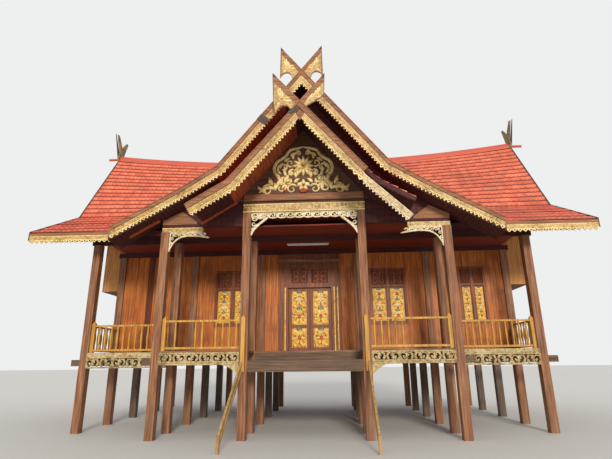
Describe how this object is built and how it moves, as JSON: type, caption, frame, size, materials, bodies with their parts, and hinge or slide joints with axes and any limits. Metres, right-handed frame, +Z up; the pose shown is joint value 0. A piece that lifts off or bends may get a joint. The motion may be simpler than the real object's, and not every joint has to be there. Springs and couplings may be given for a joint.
{
  "type": "stilt house",
  "caption": "Boarded timber house raised on stilts, with an open railed veranda, a sagging tiled roof, stepped porch gables and a double door.",
  "frame": {"origin": "on the ground under the middle of the house's bounding box", "axes": "+X along the ridge, to the right of someone facing the porch; -Y towards the porch; +Z up"},
  "size_m": [15.6, 10.436, 10.1006],
  "materials": {
    "post_wood": "satin",
    "weathered_wood": "satin",
    "floor_wood": "satin",
    "carved_wood": "satin",
    "rail_wood": "satin",
    "wall_wood": "satin",
    "door_wood": "satin",
    "hinge_metal": "satin",
    "soffit_wood": "satin",
    "roof_tile": "satin",
    "gable_wood": "satin"
  },
  "bodies": {
    "house": {"porch_posts": "post_wood", "side_posts": "post_wood", "veranda_posts": "post_wood", "wall_posts": "post_wood", "back_posts": "post_wood", "middle_stilts": "weathered_wood", "floor_beams": "weathered_wood", "floor_joists": "weathered_wood", "veranda_floor": "floor_wood", "house_floor": "floor_wood", "porch_landing": "weathered_wood", "floor_trim_left": "carved_wood", "floor_trim_right": "carved_wood", "newel_posts": "rail_wood", "railing_left": "rail_wood", "railing_right": "rail_wood", "side_railings": "rail_wood", "stair_rail_left": "rail_wood", "stair_rail_right": "rail_wood", "front_wall_left": "wall_wood", "front_wall_right": "wall_wood", "door_jambs": "door_wood", "door_head": "door_wood", "door_hinges": "hinge_metal", "front_windows_left": "door_wood", "front_windows_right": "door_wood", "side_wall_left": "wall_wood", "side_wall_right": "wall_wood", "back_wall": "wall_wood", "back_windows": "door_wood", "side_gable_left": "wall_wood", "side_gable_right": "wall_wood", "plates": "post_wood", "purlins": "post_wood", "veranda_ceiling": "soffit_wood", "main_roof_front": "roof_tile", "main_roof_back": "roof_tile", "upper_roof_left": "roof_tile", "upper_roof_right": "roof_tile", "porch_roof_left": "soffit_wood", "porch_roof_right": "soffit_wood", "ridge_caps": "roof_tile", "verge_boards_front": "gable_wood", "verge_boards_back": "gable_wood", "eave_boards": "carved_wood", "upper_gable_boards": "gable_wood", "upper_carved_boards": "carved_wood", "upper_pediment": "soffit_wood", "side_beams": "carved_wood", "side_valances": "carved_wood", "porch_gable_boards": "gable_wood", "porch_carved_boards": "carved_wood", "porch_pediment": "gable_wood", "porch_beam": "carved_wood", "porch_valance": "carved_wood"},
    "door_leaf_left": {"door_leaf_left": "door_wood"},
    "door_leaf_right": {"door_leaf_right": "door_wood"}
  },
  "joints": [
    {"name": "left_door_hinge", "type": "hinge", "parent": "house", "child": "door_leaf_left", "pos_m": [-0.644, -0.825, 2.9], "axis": [0, 0, 1], "range_deg": [0, 90]},
    {"name": "right_door_hinge", "type": "hinge", "parent": "house", "child": "door_leaf_right", "pos_m": [0.644, -0.825, 2.9], "axis": [0, 0, -1], "range_deg": [0, 90]}
  ]
}
